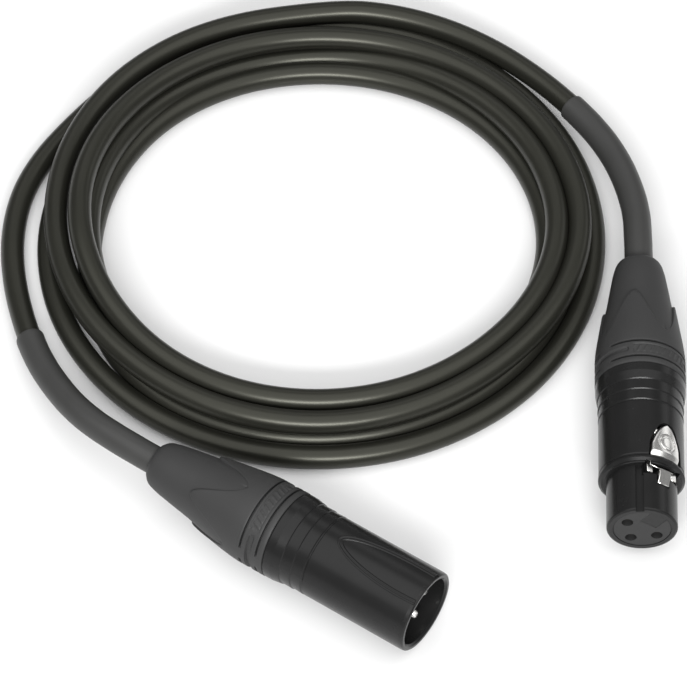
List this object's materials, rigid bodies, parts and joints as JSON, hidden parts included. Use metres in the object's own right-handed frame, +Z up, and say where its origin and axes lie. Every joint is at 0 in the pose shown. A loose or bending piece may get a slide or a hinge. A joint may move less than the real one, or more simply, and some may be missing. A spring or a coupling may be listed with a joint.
{
  "type": "coiled microphone cable",
  "caption": "Coiled black microphone cable with a latching three-hole female connector and a three-pin male connector, both with screw-on boots.",
  "frame": {"origin": "on the ground under the middle of the two connectors' common box, the free cable left out", "axes": "+Z up, +X to the right along the longer side of that box, +Y towards the coil, away from the connectors' mating faces"},
  "size_m": [0.1606, 0.1914, 0.0209],
  "materials": {
    "shell_black": "satin, fine brushed",
    "boot_rubber": "matte",
    "cable_jacket": "satin",
    "shrink_sleeve": "satin",
    "insert_grey": "matte",
    "insert_black": "matte",
    "contact_plate": "satin",
    "pin_plate": "polished",
    "latch_metal": "polished",
    "spring_steel": "satin",
    "gland_metal": "satin",
    "chuck_plastic": "matte",
    "drain_wire": "satin",
    "core_red": "satin",
    "core_white": "satin"
  },
  "bodies": {
    "root": {"cable_coil": "cable_jacket", "cable_lead_female": "cable_jacket", "cable_lead_male": "cable_jacket", "heat_shrink_female": "shrink_sleeve", "heat_shrink_male": "shrink_sleeve", "female_shell": "shell_black", "female_jacket_end": "cable_jacket", "female_shield_drain": "drain_wire", "female_core_hot": "core_red", "female_core_cold": "core_white", "male_shell": "shell_black", "male_jacket_end": "cable_jacket", "male_shield_drain": "drain_wire", "male_core_hot": "core_red", "male_core_cold": "core_white", "female_insert": "insert_grey", "male_insert": "insert_black", "female_contact_1": "contact_plate", "male_pin_1": "pin_plate", "female_contact_2": "contact_plate", "male_pin_2": "pin_plate", "female_contact_3": "contact_plate", "male_pin_3": "pin_plate", "female_latch_pin": "spring_steel", "female_latch_spring": "spring_steel"},
    "female_latch": {"female_latch": "latch_metal"},
    "female_chuck": {"female_chuck": "chuck_plastic"},
    "female_boot": {"female_boot": "boot_rubber", "female_gland_nut": "gland_metal"},
    "male_chuck": {"male_chuck": "chuck_plastic"},
    "male_boot": {"male_boot": "boot_rubber", "male_gland_nut": "gland_metal"}
  },
  "joints": [
    {"name": "female_latch_press", "type": "hinge", "parent": "root", "child": "female_latch", "pos_m": [0.05442, -0.00071, 0.01651], "axis": [0.8285, -0.0297, -0.5592], "range_deg": [0, 6], "stiffness_Nm_per_rad": 0.5, "deforming": ["female_latch_spring"]},
    {"name": "female_chuck_slide", "type": "slide", "parent": "root", "child": "female_chuck", "axis": [0.0358, 0.9994, 0], "range_m": [0, 0.005]},
    {"name": "female_boot_turn", "type": "hinge", "parent": "female_chuck", "child": "female_boot", "pos_m": [0.05131, 0.02662, 0.01046], "axis": [0.0358, 0.9994, 0], "range_deg": [0, 1800]},
    {"name": "male_chuck_slide", "type": "slide", "parent": "root", "child": "male_chuck", "axis": [-0.829, 0.5592, 0], "range_m": [0, 0.005]},
    {"name": "male_boot_turn", "type": "hinge", "parent": "male_chuck", "child": "male_boot", "pos_m": [-0.03788, -0.01851, 0.01046], "axis": [-0.829, 0.5592, 0], "range_deg": [0, 1800]}
  ],
  "couplings": [
    {"joint": "female_chuck_slide", "follows": "female_boot_turn", "m_per_rad": 0.00015915},
    {"joint": "male_chuck_slide", "follows": "male_boot_turn", "m_per_rad": 0.00015915}
  ]
}
